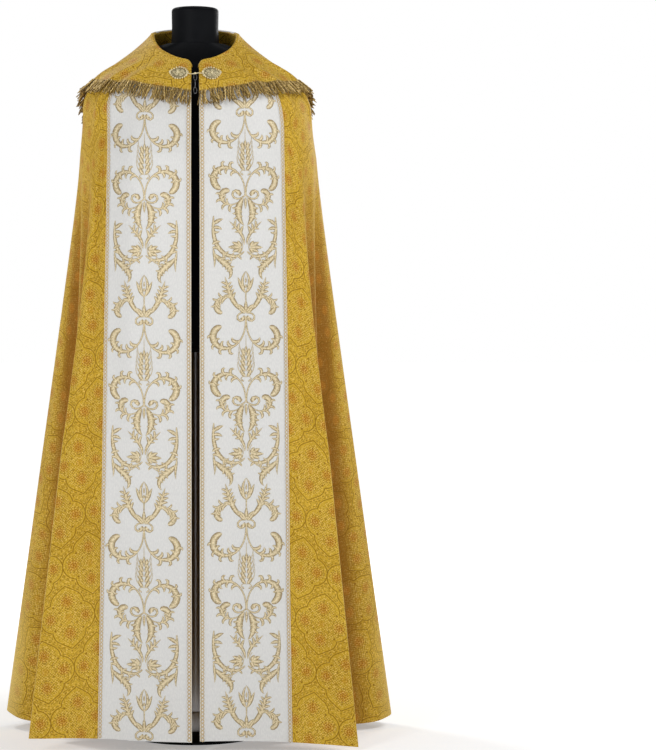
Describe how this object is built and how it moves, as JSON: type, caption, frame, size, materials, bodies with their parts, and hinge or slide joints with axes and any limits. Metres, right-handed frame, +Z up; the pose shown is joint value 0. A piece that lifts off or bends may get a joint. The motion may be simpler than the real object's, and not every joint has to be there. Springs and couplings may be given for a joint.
{
  "type": "cope vestment on a dress form",
  "caption": "Half-circle gold brocade cope worn on a limbless black dress form on a pole and round base, with white figured orphreys, a shield hood, bullion fringe and a chain clasp.",
  "frame": {"origin": "centre of the round base's underside, on the floor, on the axis of the pole and neck", "axes": "+Z up along the pole, -Y towards the open front, +X towards the viewer's right when facing the front"},
  "size_m": [0.8286, 0.4645, 1.532],
  "materials": {
    "gold_brocade": "gold silk brocade with a woven quatrefoil damask, soft satin sheen",
    "white_satin": "white satin with woven gold foliage",
    "gold_braid": "narrow metallic chain braid",
    "bullion_thread": "twisted antique gold bullion cords",
    "antique_silver_gilt": "antiqued silver gilt filigree",
    "black_form": "smooth satin black",
    "black_steel": "black powder coat",
    "steel": "satin steel tube"
  },
  "bodies": {
    "root": {"cope_body": "gold_brocade", "orphrey_left": "white_satin", "orphrey_right": "white_satin", "galloon_inner_left": "gold_braid", "galloon_inner_right": "gold_braid", "galloon_outer_left": "gold_braid", "galloon_outer_right": "gold_braid", "hood": "gold_brocade", "hood_panel": "white_satin", "hood_galloon_left": "gold_braid", "hood_galloon_right": "gold_braid", "fringe_left": "bullion_thread", "fringe_right": "bullion_thread", "clasp_plate_left": "antique_silver_gilt", "clasp_plate_right": "antique_silver_gilt", "clasp_hook": "antique_silver_gilt", "clasp_link_1": "antique_silver_gilt", "clasp_link_2": "antique_silver_gilt", "clasp_link_3": "antique_silver_gilt", "form_torso": "black_form", "form_neck": "black_form", "form_cap": "black_form", "form_base": "black_steel", "form_collar": "steel", "form_pole": "steel"}
  },
  "joints": []
}
